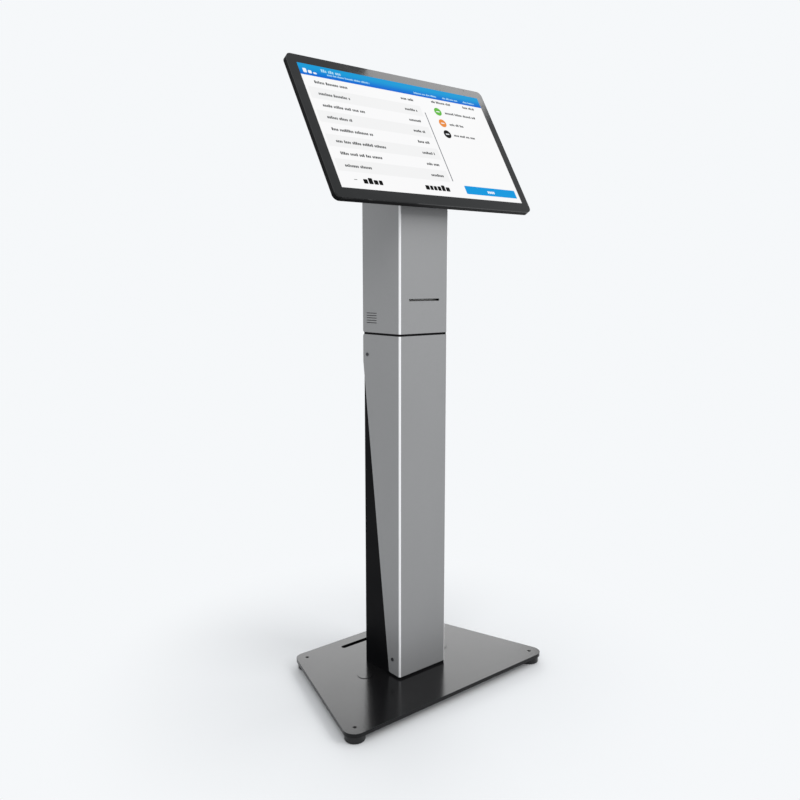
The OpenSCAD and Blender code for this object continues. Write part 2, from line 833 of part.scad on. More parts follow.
module panel_tray() {
  floor_z = tray_back + sheet_t;
  color([0.08, 0.08, 0.09]) on_monitor() difference() {
    rounded_slab(tray_w, tray_h, 8, tray_back, bezel_back);
    rounded_slab(tray_w - 2 * sheet_t, tray_h - 2 * sheet_t, 8 - sheet_t, floor_z, bezel_back + cut);
    rounded_slab(60, 30, 4, tray_back - cut, floor_z + cut);
    at_housing_screws() z_rod(vesa_r, tray_back - cut, floor_z + cut, 0, 0);
  }
}

module at_housing_screws() {
  for (sx = [-1, 0, 1], sy = [-1, 1]) translate([sx * (box_w / 2 + 4), sy * (box_h / 2 + 4), 0]) children();
}

// Widths and centres of the sockets along the lower wall of the electronics cover
PORTS = [[-84, 16, 13], [-58, 14, 7], [-36, 14, 7], [-12, 16, 6], [10, 10, 10]];

// A hole through the lower wall of the electronics cover, w wide and d deep from the board
module wall_hole(x, w, d) {
  wall = -box_h / 2;
  block([x - w / 2, wall - cut, port_z - d], [x + w / 2, wall + sheet_t + cut, port_z]);
}

module electronics_cover() {
  rim = tray_back - sheet_t;
  color([0.08, 0.08, 0.09]) on_monitor() difference() {
    union() {
      rounded_slab(box_w, box_h, 8, box_back, tray_back);
      rounded_slab(box_w + 16, box_h + 16, 10, rim, tray_back);
    }
    rounded_slab(box_w - 2 * sheet_t, box_h - 2 * sheet_t, 8 - sheet_t, box_back + sheet_t, tray_back + cut);
    at_vesa() z_rod(vesa_r, box_back - cut, box_back + sheet_t + cut, 0, 0);
    at_housing_screws() z_rod(vesa_r + 0.2, rim - cut, tray_back + cut, 0, 0);
    for (i = [0:9], s = [-1, 1]) {
      block([s * 105 - 25, 76 - i * 7, box_back - cut], [s * 105 + 25, 79 - i * 7, box_back + sheet_t + cut]);
    }
    for (p = PORTS) wall_hole(p[0], p[1], p[2]);
    for (s = [-1, 1], i = [-3:3]) wall_hole(s * speaker_x + i * 5, 2, 10);
    x_rod(power_button_r + fit, box_w / 2 - 3, box_w / 2 + cut, power_button_at[0], power_button_at[1]);
  }
}

module housing_screws() {
  rim = tray_back - sheet_t;
  color([0.3, 0.3, 0.31]) on_monitor() at_housing_screws() {
    z_rod(vesa_r - fit, rim, tray_back + 4, 0, 0);
    z_rod(3.4, rim - 1.8, rim, 0, 0);
  }
}

// The board on its standoffs, with its processor and memory
module mainboard() {
  board_z = [-28, -26.4];
  color([0.05, 0.25, 0.12]) on_monitor() {
    block([-105, -78, board_z[0]], [65, 30, board_z[1]]);
    for (x = [-98, 58], y = [-70, 22]) z_rod(3, board_z[1] - 0.5, tray_back, x, y);
    block([-40, -20, -30], [-10, 10, board_z[0] + 0.5]);
    for (i = [0:2]) block([20, -44 + i * 22, -29.5], [34, -28 + i * 22, board_z[0] + 0.5]);
  }
}

module heat_sink() {
  color([0.75, 0.76, 0.78]) on_monitor() {
    block([-48, -28, -32.5], [-2, 18, -30]);
    for (i = [0:7]) block([-48 + i * 6.3, -28, -40], [-46.2 + i * 6.3, 18, -32]);
  }
}

module io_ports() {
  wall = -box_h / 2;
  gap = 0.2;
  shell = gap + 1;
  color([0.7, 0.7, 0.72]) on_monitor() for (p = PORTS) translate([p[0] - p[1] / 2, 0, port_z]) difference() {
    block([gap, wall + 0.4, gap - p[2]], [p[1] - gap, -78.5, 0]);
    block([shell, wall - cut, shell - p[2]], [p[1] - shell, -84, -shell]);
  }
}

module speakers() {
  color([0.1, 0.1, 0.1]) on_monitor() for (s = [-1, 1]) difference() {
    block([s * speaker_x - 18, -92, box_back + sheet_t], [s * speaker_x + 18, -40, -24]);
    z_rod(13, -28, -23, s * speaker_x, -66);
  }
}

module power_button() {
  wall = box_w / 2;
  color([0.15, 0.15, 0.15]) on_monitor() {
    x_rod(power_button_r, wall - 4, wall + 2.5, power_button_at[0], power_button_at[1]);
    x_rod(power_button_r + 1.5, wall - 3.6, wall - sheet_t - 0.1, power_button_at[0], power_button_at[1]);
  }
}

base_plate();
anchor_plugs();
foot_nuts();
foot(-1, -1);  // foot_front_left
foot(1, -1);  // foot_front_right
foot(-1, 1);  // foot_rear_left
foot(1, 1);  // foot_rear_right
base_flange();
flange_bolts();
column_frame();
lower_cover();
upper_cover();
cover_screws();
rear_panel();
rear_panel_screws();
inlet_body();
inlet_pins();
power_rocker();
psu_bracket();
psu_case();
printer_shelf();
printer_body();
print_head();
receipt_bezel();
printer_lid();
lid_hinge_pin();
platen_rubber();
platen_shaft();
paper_roll();
paper_core();
feed_button();
sounder();
rear_door();
hinge_brackets();
hinge_pins();
lock_body();
lock_nut();
lock_plug();
lock_cam();
column_cap();
cap_grommet();
tilt_yoke();
yoke_bolts();
tilt_bolts();
tilt_nuts();
friction_washers();
tilt_bracket();
vesa_screws();
touch_glass();
front_frame();
lcd_panel();
panel_tray();
electronics_cover();
housing_screws();
mainboard();
heat_sink();
io_ports();
speakers();
power_button();
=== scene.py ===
"""Looks of the self checkout kiosk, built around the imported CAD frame.

Metres, in the frame's own axes: +Z up, -Y the front, the origin on the floor under the base.
The lit screen is laid out in millimetres from its own centre, x to the right and y up the glass.
"""

import math
import random

import bmesh
import bpy
from mathutils import Matrix, Vector


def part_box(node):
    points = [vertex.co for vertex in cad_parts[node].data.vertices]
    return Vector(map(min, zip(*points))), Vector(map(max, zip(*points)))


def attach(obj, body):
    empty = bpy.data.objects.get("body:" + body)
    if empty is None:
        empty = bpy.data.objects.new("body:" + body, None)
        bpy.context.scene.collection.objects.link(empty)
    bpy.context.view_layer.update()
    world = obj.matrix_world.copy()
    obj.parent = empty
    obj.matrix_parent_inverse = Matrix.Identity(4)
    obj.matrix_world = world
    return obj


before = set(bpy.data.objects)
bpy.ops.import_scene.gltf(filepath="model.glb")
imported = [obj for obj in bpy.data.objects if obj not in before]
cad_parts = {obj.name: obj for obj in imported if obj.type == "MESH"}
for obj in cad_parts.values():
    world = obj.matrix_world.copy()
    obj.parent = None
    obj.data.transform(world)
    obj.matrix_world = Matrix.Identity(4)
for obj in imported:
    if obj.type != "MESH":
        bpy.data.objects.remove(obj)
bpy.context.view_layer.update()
MM = 0.001

# Camera
CAMERA_AT = (-1.106, -1.306, 0.870)
CAMERA_HEADING = 39.97  # degrees from +Y towards +X
CAMERA_PITCH = 8.45     # degrees below the horizon
CAMERA_LENS = 36.32     # millimetres
CAMERA_SENSOR = 36      # millimetres

# Studio
ROOM = (0.920, 0.938, 0.955)
FLOOR_RADIUS = 14.0
FLOOR_FADE = (0.25, 0.75)      # from the middle, where the floor starts and ends fading away
KIOSK_MIDDLE = (0, 0, 0.65)
LAMPS = (
    # name, place, the point it faces, width, height, radiance
    ("key", (-1.9, -1.7, 2.7), KIOSK_MIDDLE, 1.4, 1.4, 4.0),
    ("front_fill", (1.1, -2.6, 2.2), KIOSK_MIDDLE, 1.6, 1.6, 5.6),
    ("rear", (1.9, 2.25, 1.45), (0, 0, 0.02), 1.7, 1.2, 3.2),
    # mirrored by the upper and right borders of the cover glass
    ("top_strip", (1.725, -0.12, 3.148), (0.335, -0.12, 1.71), 0.86, 0.626, 4.8),
)


def add(name, data):
    """A new object in the scene."""
    made = bpy.data.objects.new(name, data)
    bpy.context.scene.collection.objects.link(made)
    return made


def add_mesh(name, mesh, material):
    """A new object from a finished bmesh, with one material."""
    data = bpy.data.meshes.new(name)
    mesh.to_mesh(data)
    mesh.free()
    data.materials.append(material)
    return add(name, data)


# ---------- materials ----------

def shade(colour, gain=1.0, lift=0.0):
    """A lighter or darker version of a colour."""
    return tuple(min(1.0, c * gain + lift) for c in colour)


class Paint:
    """A Principled material, and short calls that build its colour, roughness and relief."""

    def __init__(self, name, colour, roughness, metallic=0.0, **sockets):
        self.material = bpy.data.materials.new(name)
        self.material.use_nodes = True
        self.tree = self.material.node_tree
        self.shader = self.tree.nodes["Principled BSDF"]
        self.colour = colour
        self.roughness = roughness
        self.relief = None
        self.edge = None
        self.set("Base Color", (*colour, 1))
        self.set("Roughness", roughness)
        self.set("Metallic", metallic)
        for socket, value in sockets.items():
            self.set(socket.replace("_", " "), value)
        self.place = self.node("TexCoord").outputs["Object"]

    def set(self, socket, value):
        self.shader.inputs[socket].default_value = value

    def node(self, kind, **values):
        made = self.tree.nodes.new("ShaderNode" + kind)
        for key, value in values.items():
            setattr(made, key, value)
        return made

    def link(self, source, target):
        self.tree.links.new(source, target)

    def feed(self, target, value):
        """Links value where it is another node's output, and sets it where it is a number."""
        if hasattr(value, "is_output"):
            self.link(value, target)
        else:
            target.default_value = value

    def multiply(self, a, b):
        made = self.node("Math", operation="MULTIPLY")
        self.feed(made.inputs[0], a)
        self.feed(made.inputs[1], b)
        return made.outputs[0]

    def axes(self):
        """The surface's X, Y and Z as three outputs."""
        split = self.node("SeparateXYZ")
        self.link(self.place, split.inputs[0])
        return split.outputs

    def normal_axis(self, axis):
        """How far the surface faces along an axis."""
        split = self.node("SeparateXYZ")
        self.link(self.node("NewGeometry").outputs["Normal"], split.inputs[0])
        return split.outputs[axis]

    def noise(self, size, detail=3, stretch=(1, 1, 1)):
        """Noise from 0 to 1 whose patches are about size metres across."""
        mapping = self.node("Mapping")
        self.link(self.place, mapping.inputs["Vector"])
        mapping.inputs["Scale"].default_value = stretch
        made = self.node("TexNoise")
        self.link(mapping.outputs[0], made.inputs["Vector"])
        made.inputs["Scale"].default_value = 1 / size
        made.inputs["Detail"].default_value = detail
        return made.outputs["Fac"]

    def cells(self, size, feature="F1", output="Distance"):
        """Cells about size metres across."""
        made = self.node("TexVoronoi", feature=feature)
        self.link(self.place, made.inputs["Vector"])
        made.inputs["Scale"].default_value = 1 / size
        return made.outputs[output]

    def fit(self, value, low, high, to_low=0.0, to_high=1.0):
        """Maps value from low..high to to_low..to_high with soft ends, and holds it outside."""
        made = self.node("MapRange", interpolation_type="SMOOTHSTEP")
        for socket, part in zip(made.inputs, (value, low, high, to_low, to_high)):
            self.feed(socket, part)
        return made.outputs[0]

    def patches(self, size, amount=1.0, low=0.3, high=0.7, detail=4, stretch=(1, 1, 1)):
        """Soft patches from 0 to amount: where the noise goes from low to high."""
        return self.fit(self.noise(size, detail, stretch), low, high, 0.0, amount)

    def mix(self, amount, a, b):
        """Colour a where amount is 0 and colour b where it is 1."""
        made = self.node("Mix", data_type="RGBA")
        self.feed(made.inputs[0], amount)
        for socket, value in zip((made.inputs[6], made.inputs[7]), (a, b)):
            self.feed(socket, value if hasattr(value, "is_output") else (*value, 1))
        return made.outputs[2]

    def tint(self, amount, colour):
        """Lays colour over what is there already, by amount."""
        self.colour = self.mix(amount, self.colour, colour)
        self.link(self.colour, self.shader.inputs["Base Color"])

    def dull(self, amount, roughness):
        """Moves the roughness towards a value, by amount."""
        made = self.node("Mix", data_type="FLOAT")
        self.feed(made.inputs[0], amount)
        self.feed(made.inputs[2], self.roughness)
        self.feed(made.inputs[3], roughness)
        self.roughness = made.outputs[0]
        self.link(self.roughness, self.shader.inputs["Roughness"])

    def bump(self, height, depth):
        """Relief of depth metres where height goes from 0 to 1."""
        made = self.node("Bump")
        self.link(height, made.inputs["Height"])
        made.inputs["Distance"].default_value = depth
        if self.relief is not None:
            self.link(self.relief, made.inputs["Normal"])
        self.relief = made.outputs[0]
        self.link(self.relief, self.shader.inputs["Normal"])

    def soften(self, radius):
        """Rounds the look of every edge by radius, and keeps a mask of where the edges are."""
        bevel = self.node("Bevel", samples=4)
        bevel.inputs["Radius"].default_value = radius
        agree = self.node("VectorMath", operation="DOT_PRODUCT")
        self.link(bevel.outputs[0], agree.inputs[0])
        self.link(self.node("NewGeometry").outputs["Normal"], agree.inputs[1])
        self.edge = self.fit(agree.outputs["Value"], 0.995, 0.86)
        self.relief = bevel.outputs[0]
        self.link(self.relief, self.shader.inputs["Normal"])

    def worn_edges(self, colour, amount):
        """Uses soften's mask: the surface is paler along edges, in patches."""
        worn = self.multiply(self.edge, self.patches(9 * MM, low=0.42, high=0.66))
        self.tint(self.multiply(worn, amount), colour)

    def dust_and_painted_light(self, amount, axis):
        """A pale film on faces that look along an axis, thicker in patches. On top faces it is
        dust; on back faces it is painted light, lightening them as if lit from behind.
        """
        facing = self.fit(self.normal_axis(axis), 0.6, 1.0)
        thicker = self.fit(self.noise(45 * MM, 5), 0.25, 0.8, 0.6, 1.0)
        film = self.multiply(self.multiply(facing, thicker), amount)
        self.tint(film, (0.55, 0.54, 0.52))
        self.dull(film, 0.9)


def powder_coat(name, colour, roughness, top_dust=0.0, back_painted_light=0.0, **sockets):
    """Sprayed and baked paint: fine orange peel, soft patches of gloss, thinner at the edges."""
    paint = Paint(name, colour, roughness, **sockets)
    paint.soften(0.6 * MM)
    paint.tint(paint.patches(160 * MM, 0.35), shade(colour, 1.5, 0.004))
    paint.dull(paint.patches(70 * MM, 0.5, high=0.75, detail=5), roughness * 1.25)
    paint.dull(paint.patches(2.5 * MM, 0.4, low=0.35, detail=2), roughness * 0.85)
    paint.worn_edges(shade(colour, lift=0.05), 0.4)
    # top faces get dust; back faces get painted light, a paler film that stands in for light from
    # behind
    for amount, axis in ((back_painted_light, 1), (top_dust, 2)):
        if amount:
            paint.dust_and_painted_light(amount, axis)
    paint.bump(paint.noise(0.9 * MM, 2), 0.02 * MM)
    paint.bump(paint.noise(12 * MM, 2), 0.05 * MM)
    return paint.material


def silver_paint(name):
    """Metallic silver: fine flakes under a satin coat, smoother where the sheet is folded, with a
    highlight painted into the colour along the two front folds.
    """
    paint = Paint(name, (0.205, 0.206, 0.208), 0.38, metallic=0.10)
    paint.soften(0.4 * MM)
    flakes = paint.fit(paint.cells(0.45 * MM, output="Color"), 0.25, 0.9, 0.0, 0.35)
    paint.tint(flakes, (0.27, 0.272, 0.277))
    paint.tint(paint.patches(240 * MM, 0.3, detail=3, stretch=(1, 1, 0.4)), (0.18, 0.181, 0.184))
    # painted highlight: a pale colour on the two front folds stands in for the light they catch,
    # and the roughness is lower there
    painted_highlight = fold_highlight_mask(paint)
    paint.tint(painted_highlight, (0.74, 0.74, 0.75))
    paint.dull(paint.patches(50 * MM, 0.4, low=0.35, detail=5), 0.46)
    paint.dull(painted_highlight, 0.22)
    paint.bump(paint.noise(1.1 * MM, 2), 0.012 * MM)
    return paint.material


def fold_highlight_mask(paint):
    """A mask that is 1 on the covers' two front corners, where the silver paint gets a painted
    highlight.
    """
    bend = 4 * MM
    blur = 1.2 * MM
    low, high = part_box("lower_cover")
    x, y, _ = paint.axes()
    across = paint.node("Math", operation="ABSOLUTE")
    paint.link(x, across.inputs[0])
    side = paint.fit(across.outputs[0], high.x - bend, high.x - bend + blur)
    front = paint.fit(y, low.y + bend, low.y + bend - blur)
    return paint.multiply(side, front)


def moulded(name, colour, roughness, grain=0.35 * MM, **sockets):
    """Moulded plastic or rubber: spark-eroded grain, flow marks and handled patches."""
    paint = Paint(name, colour, roughness, **sockets)
    paint.soften(0.5 * MM)
    paint.tint(paint.patches(18 * MM, 0.5, stretch=(1, 1, 0.5)), shade(colour, 1.35, 0.004))
    paint.dull(paint.patches(11 * MM, 0.6, low=0.4), roughness * 0.75)
    paint.worn_edges(shade(colour, 1.6, 0.012), 0.6)
    paint.bump(paint.cells(grain), 0.03 * MM)
    return paint.material


def metal(name, colour, roughness, brushed=(1, 1, 1), spangle=0.0):
    """Bare or plated metal: drawn lines or spangle, with darker stains."""
    paint = Paint(name, colour, roughness, metallic=1.0)
    paint.soften(0.3 * MM)
    paint.tint(paint.patches(14 * MM, 0.6, low=0.35, detail=5), shade(colour, 0.8))
    lines = paint.noise(0.4 * MM, 3, brushed)
    paint.dull(paint.fit(lines, 0.3, 0.7, 0.0, 0.6), roughness * 1.6)
    if spangle:
        crystal = paint.fit(paint.cells(spangle, output="Color"), 0.0, 1.0, 0.0, 0.5)
        paint.tint(crystal, shade(colour, 1.25))
        paint.dull(crystal, roughness * 0.6)
    paint.bump(lines, 0.008 * MM)
    return paint.material


def thermal_paper(name):
    """Wound receipt paper: fine fibres and soft yellowed patches."""
    paint = Paint(name, (0.86, 0.86, 0.83), 0.6, Subsurface_Weight=0.05)
    fibre = paint.noise(0.6 * MM, 4)
    paint.tint(paint.fit(fibre, 0.35, 0.7, 0.0, 0.35), (0.78, 0.77, 0.73))
    paint.tint(paint.patches(20 * MM, 0.3, low=0.4, high=0.8, detail=3), (0.9, 0.88, 0.8))
    paint.bump(fibre, 0.02 * MM)
    return paint.material


def core_card(name):
    """Grey-brown wound card."""
    paint = Paint(name, (0.42, 0.31, 0.2), 0.85)
    fibre = paint.noise(0.5 * MM, 5, (3, 1, 1))
    paint.tint(paint.fit(fibre, 0.3, 0.7, 0.0, 0.8), (0.55, 0.43, 0.3))
    paint.bump(fibre, 0.05 * MM)
    return paint.material


def circuit_board(name):
    """Green solder mask with paler tracks and tinned pads."""
    paint = Paint(name, (0.012, 0.09, 0.04), 0.35)
    track = paint.fit(paint.cells(4 * MM, "DISTANCE_TO_EDGE"), 0.04, 0.08, 1.0, 0.0)
    paint.tint(track, (0.03, 0.17, 0.08))
    pads = paint.fit(paint.cells(3.1 * MM), 0.16, 0.12)
    paint.tint(pads, (0.62, 0.58, 0.45))
    paint.dull(pads, 0.25)
    paint.bump(track, 0.03 * MM)
    return paint.material


def cover_glass(name):
    """Black-printed cover glass: near mirror smooth, with faint wiped smears and finger marks."""
    paint = Paint(name, (0.003, 0.0035, 0.0038), 0.06, IOR=1.34)
    paint.soften(0.5 * MM)
    wiped = paint.patches(26 * MM, low=0.42, high=0.72, detail=5, stretch=(0.35, 1, 1))
    prints = paint.patches(7 * MM, low=0.6, high=0.72, detail=3)
    paint.dull(wiped, 0.13)
    paint.dull(paint.multiply(prints, wiped), 0.25)
    paint.tint(paint.multiply(wiped, 0.25), (0.012, 0.012, 0.013))
    return paint.material


def display_black(name):
    """The unlit back layers of the panel."""
    paint = Paint(name, (0.02, 0.022, 0.025), 0.3)
    grid = paint.noise(0.3 * MM, 1)
    paint.tint(paint.fit(grid, 0.4, 0.6, 0.0, 0.5), (0.05, 0.055, 0.06))
    paint.bump(grid, 0.01 * MM)
    return paint.material


def lit(name, colour, foot=None, foot_span=(0, 0)):
    """A lit area behind glass. Its colour turns to foot, down the glass over foot_span."""
    paint = Paint(name, (0.004, 0.004, 0.004), 0.08, IOR=1.03)
    shown = colour
    if foot:
        start, full = foot_span
        shown = paint.mix(paint.fit(paint.axes()[1], start * MM, full * MM), shown, foot)
    dots = paint.patches(0.5 * MM, 0.05, low=0.35, high=0.65, detail=1)
    shown = paint.mix(dots, shown, shade(colour, 0.8))
    paint.dull(paint.patches(26 * MM, 0.8, low=0.42, high=0.72, detail=5), 0.14)
    paint.link(shown, paint.shader.inputs["Emission Color"])
    paint.set("Emission Strength", 1.0)
    return paint.material


def slot_materials():
    """One material for each of the record's slots."""
    black = (0.003, 0.003, 0.0035)
    made = (
        powder_coat("base_paint", black, 0.18, top_dust=0.006, IOR=1.3),
        # the frame's and the monitor's back faces are lightened by painted light, standing in for
        # light from behind
        powder_coat("frame_paint", black, 0.40, back_painted_light=0.045, IOR=1.1),
        powder_coat("monitor_paint", (0.002, 0.002, 0.0024), 0.30, back_painted_light=0.04, IOR=1.12),
        silver_paint("silver_paint"),
        moulded("black_plastic", (0.005, 0.005, 0.0055), 0.38, IOR=1.4),
        moulded("printer_plastic", (0.025, 0.025, 0.028), 0.55),
        moulded("soft_rubber", (0.018, 0.018, 0.018), 0.8, grain=0.6 * MM),
        moulded("button_plastic", (0.06, 0.16, 0.36), 0.4),
        moulded("washer_plastic", (0.28, 0.22, 0.13), 0.6),
        moulded("head_ceramic", (0.6, 0.6, 0.58), 0.3),
        metal("zinc_steel", (0.58, 0.59, 0.61), 0.32, spangle=2.5 * MM),
        metal("dark_steel", (0.09, 0.09, 0.095), 0.38),
        metal("psu_metal", (0.62, 0.63, 0.65), 0.3, spangle=9 * MM),
        metal("brass_pin", (0.72, 0.58, 0.3), 0.25, brushed=(1, 0.1, 1)),
        metal("lock_chrome", (0.50, 0.51, 0.53), 0.2),
        metal("sink_aluminium", (0.7, 0.71, 0.73), 0.35, brushed=(1, 0.08, 1)),
        metal("port_steel", (0.6, 0.6, 0.62), 0.28, brushed=(0.1, 1, 1)),
        thermal_paper("receipt_paper"),
        core_card("core_card"),
        circuit_board("circuit_board"),
        cover_glass("cover_glass"),
        display_black("display"),
    )
    return {slot_name(material): material for material in made}


def slot_name(material):
    """A material's name without the number that Blender adds to a repeated one."""
    return material.name.split(".")[0]


def paint_nodes():
    """Gives every CAD node its slot's material."""
    materials = slot_materials()
    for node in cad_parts.values():
        for slot in node.material_slots:
            slot.material = materials[slot_name(slot.material)]


# ---------- the lit screen ----------

def glass_face():
    """The cover glass's front: a matrix from its centre (x right, y up, z out), and half sizes."""
    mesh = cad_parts["touch_glass"].data
    out = max(mesh.polygons, key=lambda face: -face.area * face.normal.y).normal.normalized()
    right = Vector((1, 0, 0))
    turn = Matrix((right, out.cross(right), out))
    local = [turn @ v.co for v in mesh.vertices]
    low, high = ([pick(p[i] for p in local) for i in range(3)] for pick in (min, max))
    centre = turn.transposed() @ Vector(((low[0] + high[0]) / 2, (low[1] + high[1]) / 2, high[2]))
    half_x, half_y = (round((high[i] - low[i]) / 2 / MM, 2) for i in (0, 1))
    return Matrix.Translation(centre) @ turn.transposed().to_4x4(), half_x, half_y


GLASS, GLASS_X, GLASS_Y = glass_face()
BORDER_SIDE = 19.2      # the black border round the lit area
BORDER_TOP = 19.5
BORDER_FOOT = 21.7
PAGE_X = GLASS_X - BORDER_SIDE                          # half the lit width
PAGE_Y = GLASS_Y - (BORDER_TOP + BORDER_FOOT) / 2       # half the lit height
PAGE_SHIFT = (BORDER_FOOT - BORDER_TOP) / 2             # the lit area's centre, up the glass
PAGE = GLASS @ Matrix.Translation((0, PAGE_SHIFT * MM, 0))

TILE_FOOT = -0.05                       # a tile's underside, just inside the glass
TILE_TOPS = (0.04, 0.08, 0.12, 0.16)    # page, panels, words and marks, each over the last
DISC_CORNER = 0.999                     # under 1, so that a disc's corners don't share a point

HEADER_HEIGHT = 26.9
HEADER_Y = PAGE_Y - HEADER_HEIGHT
HEADER_FADE = 6                         # how far below the top the blue starts to deepen

DIVIDER_X = 52.0                        # the line between the list and the side panel
DIVIDER_Y = (-99.5, 70)
DIVIDER_WIDTH = 2.4

ROW_ENDS = (-137, -140, -115, -154, -117, -92, -115, -152)
ROW_TOP = 98.0
ROW_PITCH = 26.7
ROW_START = -213.0
PRICE_X = (-2, 31)
BAND_START = 6                          # every second row's grey band, in from the page's edge
BAND_STOP = 8                           # and short of the divider

SIDE_HEADINGS = ((84, 140), (176, 213))
SIDE_HEADING_Y = 103.5
SIDE_LABEL_X = 112
PAYMENTS = (
    # name, colour, the disc's centre, where the label ends
    ("green", (0.13, 0.50, 0.06), (92.0, 78.3), 202),
    ("orange", (0.82, 0.27, 0.05), (92.2, 48.9), 152),
    ("dark", (0.008, 0.008, 0.008), (93.3, 21.2), 174),
)
DISC_RADIUS = 10
DISC_MARK = (5, 1.2)                    # half its length and half its height
DISC_MARK_CORNER = 1

TOTAL_Y = -119
TOTAL_X = ((-183, -136), (-31, 34))     # the label and the sum
DASH_X = (-204, -197)
DASH_HEIGHT = 1.2

BUTTON_X = (79, 229)
BUTTON_Y = (-127.5, -107.7)
BUTTON_CORNER = 1.5
BUTTON_LABEL_X = (143, 164)

TITLE_X, TITLE_Y = (-187, -141), 129
SUBTITLE_X, SUBTITLE_Y = (-176, -74), 120.7
MENU_X, MENU_Y = ((42, 105), (123, 167), (184, 219)), 119

BADGE_X = -230
BADGE_Y = (117, 127)
BADGE_PITCH = 11
BADGE_WIDTH = 8
BADGE_STEP = 3                          # each block is lower than the one before by this
BADGE_CORNER = 2

# The words are plain blocks. A style is their height, and their mean width as a share of it.
ITEM_STYLE = (6.8, 0.45)
PRICE_STYLE = (6.5, 0.5)
SIDE_STYLE = (6.2, 0.45)
TOTAL_STYLE = (14, 0.66)
TITLE_STYLE = (7.5, 0.45)
SUBTITLE_STYLE = (4.4, 0.45)
MENU_STYLE = (4.6, 0.45)
BUTTON_STYLE = (8, 0.5)
BLOCKS_IN_WORD = (3, 8)
BLOCK_WIDTHS = (0.75, 1.15)             # times the mean width
BLOCK_TALLS = (0.7, 0.7, 0.72, 0.95)    # times the style's height, like the rest below
BLOCK_GAP = 0.16
WORD_GAP = 0.42
LAST_GAP = 0.3                          # no block starts this near the end
BLOCK_CORNER = 0.16                     # times the block's own width


def rounded_outline(x0, x1, y0, y1, r, steps=4):
    """Points round a rectangle whose corners have radius r."""
    if r <= 0:
        return [(x0, y0), (x1, y0), (x1, y1), (x0, y1)]
    points = []
    left, right, low, high = x0 + r, x1 - r, y0 + r, y1 - r
    for cx, cy, start in ((right, low, -90), (right, high, 0), (left, high, 90), (left, low, 180)):
        for i in range(steps + 1):
            angle = math.radians(start + 90 * i / steps)
            points.append((cx + r * math.cos(angle), cy + r * math.sin(angle)))
    return points


class Tiles:
    """One screen piece: closed flat tiles that stand a hair proud of the glass."""

    def __init__(self, name, material, level):
        self.name = name
        self.material = material
        self.top = TILE_TOPS[level]
        self.mesh = bmesh.new()

    def prism(self, outline):
        low, high = (
            [self.mesh.verts.new((x * MM, y * MM, z * MM)) for x, y in outline]
            for z in (TILE_FOOT, self.top)
        )
        self.mesh.faces.new(high)
        self.mesh.faces.new(low[::-1])
        for i in range(len(low)):
            j = (i + 1) % len(low)
            self.mesh.faces.new((low[i], low[j], high[j], high[i]))

    def rect(self, x0, x1, y0, y1, r=0.0):
        self.prism(rounded_outline(x0, x1, y0, y1, r))

    def disc(self, x, y, r):
        self.prism(rounded_outline(x - r, x + r, y - r, y + r, r * DISC_CORNER, 8))

    def words(self, span, y, style, rng):
        """A line of small plain blocks in groups, centred on y."""
        height, weight = style
        x, end = span
        left = rng.randint(*BLOCKS_IN_WORD)
        while x < end - LAST_GAP * height:
            width = height * weight * rng.uniform(*BLOCK_WIDTHS)
            tall = height * rng.choice(BLOCK_TALLS)
            foot = y - height / 2
            self.rect(x, min(x + width, end), foot, foot + tall, BLOCK_CORNER * width)
            x += width + BLOCK_GAP * height
            left -= 1
            if left == 0:
                x += WORD_GAP * height
                left = rng.randint(*BLOCKS_IN_WORD)

    def done(self):
        piece = add_mesh(self.name, self.mesh, self.material)
        piece.matrix_world = PAGE
        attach(piece, "monitor")


def row_y(i):
    return ROW_TOP - i * ROW_PITCH


def screen_page():
    page = Tiles("screen_page", lit("screen_white", (0.95, 0.95, 0.955)), 0)
    page.rect(-PAGE_X, PAGE_X, -PAGE_Y, HEADER_Y)
    page.done()


def screen_header():
    deep = (0.001, 0.14, 0.66)
    blue = lit("screen_blue", (0.008, 0.33, 0.69), deep, (PAGE_Y - HEADER_FADE, HEADER_Y))
    header = Tiles("screen_header", blue, 0)
    header.rect(-PAGE_X, PAGE_X, HEADER_Y, PAGE_Y)
    header.done()


def screen_bands():
    bands = Tiles("screen_bands", lit("screen_band", (0.895, 0.897, 0.90)), 1)
    for i in range(1, len(ROW_ENDS), 2):
        foot, top = row_y(i) - ROW_PITCH / 2, row_y(i) + ROW_PITCH / 2
        bands.rect(-PAGE_X + BAND_START, DIVIDER_X - BAND_STOP, foot, top)
    bands.done()


def screen_divider():
    line = Tiles("screen_divider", lit("screen_line", (0.20, 0.21, 0.23)), 1)
    line.rect(DIVIDER_X - DIVIDER_WIDTH / 2, DIVIDER_X + DIVIDER_WIDTH / 2, *DIVIDER_Y)
    line.done()


def screen_items(rng):
    """The list's rows, the side panel's words and the short dash before the total."""
    items = Tiles("screen_items", lit("screen_ink", (0.075, 0.078, 0.08)), 2)
    for i, end in enumerate(ROW_ENDS):
        items.words((ROW_START, end), row_y(i), ITEM_STYLE, rng)
        items.words(PRICE_X, row_y(i), PRICE_STYLE, rng)
    for span in SIDE_HEADINGS:
        items.words(span, SIDE_HEADING_Y, SIDE_STYLE, rng)
    for _, _, (_, y), end in PAYMENTS:
        items.words((SIDE_LABEL_X, end), y, SIDE_STYLE, rng)
    items.rect(*DASH_X, TOTAL_Y - DASH_HEIGHT / 2, TOTAL_Y + DASH_HEIGHT / 2)
    items.done()


def screen_total(rng):
    total = Tiles("screen_total", lit("screen_black", (0.003, 0.003, 0.003)), 2)
    for span in TOTAL_X:
        total.words(span, TOTAL_Y, TOTAL_STYLE, rng)
    total.done()


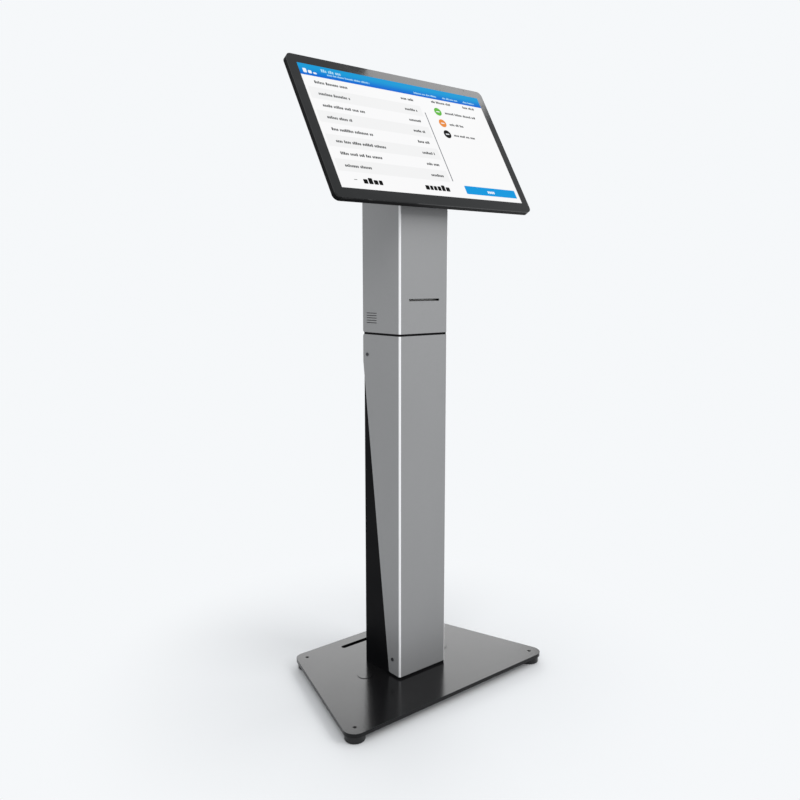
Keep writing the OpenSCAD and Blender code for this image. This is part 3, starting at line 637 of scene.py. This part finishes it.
def screen_title(rng):
    title = Tiles("screen_title", lit("screen_pale", (0.42, 0.70, 0.92)), 2)
    title.words(TITLE_X, TITLE_Y, TITLE_STYLE, rng)
    title.words(SUBTITLE_X, SUBTITLE_Y, SUBTITLE_STYLE, rng)
    for span in MENU_X:
        title.words(span, MENU_Y, MENU_STYLE, rng)
    title.done()


def screen_badge():
    """Three plain blocks that step down, in the header's corner."""
    badge = Tiles("screen_badge", lit("screen_badge_white", (0.88, 0.93, 0.97)), 2)
    foot, top = BADGE_Y
    for i in range(3):
        x = BADGE_X + BADGE_PITCH * i
        badge.rect(x, x + BADGE_WIDTH, foot, top - BADGE_STEP * i, BADGE_CORNER)
    badge.done()


def screen_discs():
    for name, colour, centre, _ in PAYMENTS:
        disc = Tiles("screen_disc_" + name, lit("screen_" + name, colour), 2)
        disc.disc(*centre, DISC_RADIUS)
        disc.done()


def screen_button():
    button = Tiles("screen_button", lit("screen_button_blue", (0.006, 0.32, 0.74)), 2)
    button.rect(*BUTTON_X, *BUTTON_Y, BUTTON_CORNER)
    button.done()


def screen_marks(rng):
    """The white marks on the discs and the button's label."""
    marks = Tiles("screen_marks", lit("screen_mark", (0.93, 0.96, 1.0)), 3)
    half_x, half_y = DISC_MARK
    for _, _, (x, y), _ in PAYMENTS:
        marks.rect(x - half_x, x + half_x, y - half_y, y + half_y, DISC_MARK_CORNER)
    marks.words(BUTTON_LABEL_X, sum(BUTTON_Y) / 2, BUTTON_STYLE, rng)
    marks.done()


def light_screen():
    screen_page()
    screen_header()
    screen_bands()
    screen_divider()
    page_words = random.Random(11)
    screen_items(page_words)
    screen_total(page_words)
    screen_title(page_words)
    screen_badge()
    screen_discs()
    screen_button()
    screen_marks(random.Random(5))


# ---------- studio ----------

def floor_paint():
    """A pale floor that fades into the room, so that no horizon shows."""
    paint = Paint("floor", (0.63, 0.637, 0.645), 0.6, IOR=1.2)
    paint.tint(paint.patches(0.5, 0.15, detail=3), (0.615, 0.622, 0.63))
    distance = paint.node("VectorMath", operation="LENGTH")
    paint.link(paint.place, distance.inputs[0])
    far = paint.node("Emission")
    far.inputs["Color"].default_value = (*ROOM, 1)
    join = paint.node("MixShader")
    paint.link(paint.fit(distance.outputs["Value"], *FLOOR_FADE), join.inputs[0])
    paint.link(paint.shader.outputs[0], join.inputs[1])
    paint.link(far.outputs[0], join.inputs[2])
    paint.link(join.outputs[0], paint.tree.nodes["Material Output"].inputs["Surface"])
    return paint.material


def make_floor():
    mesh = bmesh.new()
    bmesh.ops.create_circle(mesh, cap_ends=True, radius=FLOOR_RADIUS, segments=96)
    add_mesh("floor", mesh, floor_paint())


def softbox(name, at, aim, width, height, radiance):
    """A rectangular lamp at a point, facing another, that the camera doesn't see."""
    lamp = bpy.data.lights.new(name, "AREA")
    lamp.shape = "RECTANGLE"
    lamp.size = width
    lamp.size_y = height
    lamp.energy = radiance * width * height * math.pi
    holder = add(name, lamp)
    holder.location = at
    holder.rotation_euler = (Vector(aim) - Vector(at)).to_track_quat("-Z", "Y").to_euler()
    holder.visible_camera = False


def light_room():
    world = bpy.data.worlds.new("room")
    bpy.context.scene.world = world
    world.use_nodes = True
    background = world.node_tree.nodes["Background"]
    background.inputs["Color"].default_value = (*ROOM, 1)
    background.inputs["Strength"].default_value = 1.0
    for lamp in LAMPS:
        softbox(*lamp)


def place_camera():
    lens = bpy.data.cameras.new("camera")
    lens.lens = CAMERA_LENS
    lens.sensor_width = CAMERA_SENSOR
    camera = add("camera", lens)
    camera.location = CAMERA_AT
    camera.rotation_euler = (math.radians(90 - CAMERA_PITCH), 0, -math.radians(CAMERA_HEADING))
    bpy.context.scene.camera = camera
    bpy.context.scene.view_settings.view_transform = "Standard"


place_camera()
make_floor()
light_room()
paint_nodes()
light_screen()
